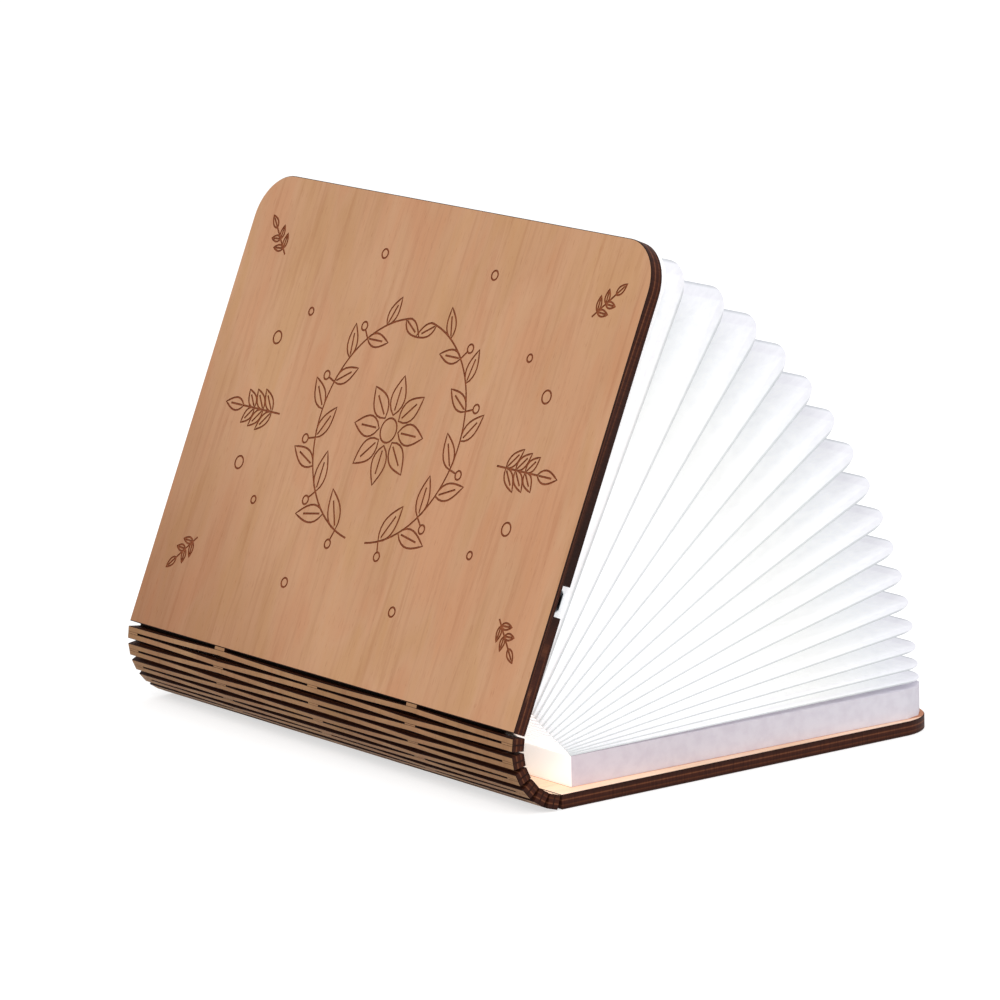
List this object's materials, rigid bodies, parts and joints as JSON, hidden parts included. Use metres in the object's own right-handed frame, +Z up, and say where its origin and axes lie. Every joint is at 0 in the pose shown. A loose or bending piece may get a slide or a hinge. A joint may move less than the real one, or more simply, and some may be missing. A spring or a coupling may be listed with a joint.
{
  "type": "folding book lamp",
  "caption": "Book-shaped lamp: plywood covers on a slatted living-hinge spine open a fan of folded white paper pages lit from a panel inside the front cover.",
  "frame": {"origin": "centre of the back cover's flat underside", "axes": "+Z up, out of the table; +Y along the spine, from tail to head; +X from the spine to the fore-edge of the back cover"},
  "size_m": [0.1798, 0.215, 0.1755],
  "materials": {
    "plywood": "matte",
    "spine_plywood": "matte",
    "page_paper": "matte",
    "block_card": "matte",
    "block_paper": "matte",
    "magnet_nickel": "polished",
    "battery_foil": "satin",
    "lead_red": "satin",
    "circuit_green": "satin",
    "chip_black": "matte",
    "socket_steel": "satin",
    "tongue_black": "matte",
    "reed_glass": "gloss",
    "lead_white": "satin",
    "panel_white": "satin",
    "light_chip": "satin",
    "diffuser_milky": "matte"
  },
  "bodies": {
    "back_cover": {"back_board": "plywood", "base_core": "block_card", "base_cover": "block_paper", "back_magnets": "magnet_nickel", "switch_magnet": "magnet_nickel"},
    "slat_1": {"spine_slat_1": "spine_plywood"},
    "slat_2": {"spine_slat_2": "spine_plywood"},
    "slat_3": {"spine_slat_3": "spine_plywood"},
    "slat_4": {"spine_slat_4": "spine_plywood"},
    "slat_5": {"spine_slat_5": "spine_plywood"},
    "slat_6": {"spine_slat_6": "spine_plywood"},
    "front_cover": {"front_board": "plywood", "front_magnets": "magnet_nickel", "battery": "battery_foil", "battery_lead": "lead_red", "control_board": "circuit_green", "control_chips": "chip_black", "socket_shell": "socket_steel", "socket_tongue": "tongue_black", "reed_switch": "reed_glass", "panel_lead": "lead_white", "light_panel": "panel_white", "light_chips": "light_chip", "diffuser": "diffuser_milky"},
    "page_01": {"page_01": "page_paper"},
    "page_02": {"page_02": "page_paper"},
    "page_03": {"page_03": "page_paper"},
    "page_04": {"page_04": "page_paper"},
    "page_05": {"page_05": "page_paper"},
    "page_06": {"page_06": "page_paper"},
    "page_07": {"page_07": "page_paper"},
    "page_08": {"page_08": "page_paper"},
    "page_09": {"page_09": "page_paper"},
    "page_10": {"page_10": "page_paper"},
    "page_11": {"page_11": "page_paper"},
    "page_12": {"page_12": "page_paper"},
    "page_13": {"page_13": "page_paper"},
    "page_14": {"page_14": "page_paper"},
    "page_15": {"page_15": "page_paper"},
    "end_leaf": {"front_end_leaf": "page_paper"}
  },
  "joints": [
    {"name": "spine_hinge_1", "type": "hinge", "parent": "back_cover", "child": "slat_1", "pos_m": [-0.0808, 0, 0.0024], "axis": [0, -1, 0], "range_deg": [-9.57, 41.86]},
    {"name": "spine_hinge_2", "type": "hinge", "parent": "slat_1", "child": "slat_2", "pos_m": [-0.08599, 0, 0.0039], "axis": [0, -1, 0], "range_deg": [-9.57, 41.86]},
    {"name": "spine_hinge_3", "type": "hinge", "parent": "slat_2", "child": "slat_3", "pos_m": [-0.09055, 0, 0.00679], "axis": [0, -1, 0], "range_deg": [-9.57, 41.86]},
    {"name": "spine_hinge_4", "type": "hinge", "parent": "slat_3", "child": "slat_4", "pos_m": [-0.09413, 0, 0.01083], "axis": [0, -1, 0], "range_deg": [-9.57, 41.86]},
    {"name": "spine_hinge_5", "type": "hinge", "parent": "slat_4", "child": "slat_5", "pos_m": [-0.09645, 0, 0.0157], "axis": [0, -1, 0], "range_deg": [-9.57, 41.86]},
    {"name": "spine_hinge_6", "type": "hinge", "parent": "slat_5", "child": "slat_6", "pos_m": [-0.09732, 0, 0.02103], "axis": [0, -1, 0], "range_deg": [-9.57, 41.86]},
    {"name": "fold", "type": "hinge", "parent": "slat_6", "child": "front_cover", "pos_m": [-0.09668, 0, 0.02639], "axis": [0, -1, 0], "range_deg": [-9.57, 41.86]},
    {"name": "page_hinge_01", "type": "hinge", "parent": "back_cover", "child": "page_01", "pos_m": [-0.0808, 0, 0.0024], "axis": [0, -1, 0], "range_deg": [-0.76, 3.28], "deforming": ["page_01"]},
    {"name": "page_hinge_02", "type": "hinge", "parent": "page_01", "child": "page_02", "pos_m": [-0.0808, 0, 0.0024], "axis": [0, -1, 0], "range_deg": [-1.53, 6.66], "deforming": ["page_02"]},
    {"name": "page_hinge_03", "type": "hinge", "parent": "page_02", "child": "page_03", "pos_m": [-0.0808, 0, 0.0024], "axis": [0, -1, 0], "range_deg": [-2.08, 9.07], "deforming": ["page_03"]},
    {"name": "page_hinge_04", "type": "hinge", "parent": "page_03", "child": "page_04", "pos_m": [-0.08123, 0, 0.00257], "axis": [0, -1, 0], "range_deg": [-2.55, 11.11], "deforming": ["page_04"]},
    {"name": "page_hinge_05", "type": "hinge", "parent": "page_04", "child": "page_05", "pos_m": [-0.0827, 0, 0.00307], "axis": [0, -1, 0], "range_deg": [-2.96, 12.91], "deforming": ["page_05"]},
    {"name": "page_hinge_06", "type": "hinge", "parent": "page_05", "child": "page_06", "pos_m": [-0.0844, 0, 0.00355], "axis": [0, -1, 0], "range_deg": [-3.34, 14.57], "deforming": ["page_06"]},
    {"name": "page_hinge_07", "type": "hinge", "parent": "page_06", "child": "page_07", "pos_m": [-0.08626, 0, 0.00413], "axis": [0, -1, 0], "range_deg": [-3.69, 16.1], "deforming": ["page_07"]},
    {"name": "page_hinge_08", "type": "hinge", "parent": "page_07", "child": "page_08", "pos_m": [-0.08805, 0, 0.00536], "axis": [0, -1, 0], "range_deg": [-4.02, 17.55], "deforming": ["page_08"]},
    {"name": "page_hinge_09", "type": "hinge", "parent": "page_08", "child": "page_09", "pos_m": [-0.09007, 0, 0.00656], "axis": [0, -1, 0], "range_deg": [-4.33, 18.92], "deforming": ["page_09"]},
    {"name": "page_hinge_10", "type": "hinge", "parent": "page_09", "child": "page_10", "pos_m": [-0.09177, 0, 0.00837], "axis": [0, -1, 0], "range_deg": [-4.63, 20.22], "deforming": ["page_10"]},
    {"name": "page_hinge_11", "type": "hinge", "parent": "page_10", "child": "page_11", "pos_m": [-0.09359, 0, 0.01034], "axis": [0, -1, 0], "range_deg": [-4.92, 21.47], "deforming": ["page_11"]},
    {"name": "page_hinge_12", "type": "hinge", "parent": "page_11", "child": "page_12", "pos_m": [-0.09491, 0, 0.01281], "axis": [0, -1, 0], "range_deg": [-5.19, 22.68], "deforming": ["page_12"]},
    {"name": "page_hinge_13", "type": "hinge", "parent": "page_12", "child": "page_13", "pos_m": [-0.09627, 0, 0.01548], "axis": [0, -1, 0], "range_deg": [-5.46, 23.84], "deforming": ["page_13"]},
    {"name": "page_hinge_14", "type": "hinge", "parent": "page_13", "child": "page_14", "pos_m": [-0.09675, 0, 0.01857], "axis": [0, -1, 0], "range_deg": [-5.72, 24.97], "deforming": ["page_14"]},
    {"name": "page_hinge_15", "type": "hinge", "parent": "page_14", "child": "page_15", "pos_m": [-0.09712, 0, 0.02177], "axis": [0, -1, 0], "range_deg": [-5.97, 26.06], "deforming": ["page_15"]},
    {"name": "page_hinge_16", "type": "hinge", "parent": "page_15", "child": "end_leaf", "pos_m": [-0.09655, 0, 0.02624], "axis": [0, -1, 0], "range_deg": [-10.01, 43.74], "deforming": ["front_end_leaf"]}
  ],
  "couplings": [
    {"joint": "spine_hinge_1", "follows": "fold", "ratio": 1},
    {"joint": "spine_hinge_2", "follows": "fold", "ratio": 1},
    {"joint": "spine_hinge_3", "follows": "fold", "ratio": 1},
    {"joint": "spine_hinge_4", "follows": "fold", "ratio": 1},
    {"joint": "spine_hinge_5", "follows": "fold", "ratio": 1},
    {"joint": "spine_hinge_6", "follows": "fold", "ratio": 1},
    {"joint": "page_hinge_01", "follows": "fold", "ratio": 0.07819},
    {"joint": "page_hinge_02", "follows": "fold", "ratio": 0.15884},
    {"joint": "page_hinge_03", "follows": "fold", "ratio": 0.21644},
    {"joint": "page_hinge_04", "follows": "fold", "ratio": 0.26507},
    {"joint": "page_hinge_05", "follows": "fold", "ratio": 0.30831},
    {"joint": "page_hinge_06", "follows": "fold", "ratio": 0.34781},
    {"joint": "page_hinge_07", "follows": "fold", "ratio": 0.38452},
    {"joint": "page_hinge_08", "follows": "fold", "ratio": 0.41902},
    {"joint": "page_hinge_09", "follows": "fold", "ratio": 0.45171},
    {"joint": "page_hinge_10", "follows": "fold", "ratio": 0.4829},
    {"joint": "page_hinge_11", "follows": "fold", "ratio": 0.5128},
    {"joint": "page_hinge_12", "follows": "fold", "ratio": 0.54157},
    {"joint": "page_hinge_13", "follows": "fold", "ratio": 0.56936},
    {"joint": "page_hinge_14", "follows": "fold", "ratio": 0.59628},
    {"joint": "page_hinge_15", "follows": "fold", "ratio": 0.6224},
    {"joint": "page_hinge_16", "follows": "fold", "ratio": 1.0448}
  ]
}
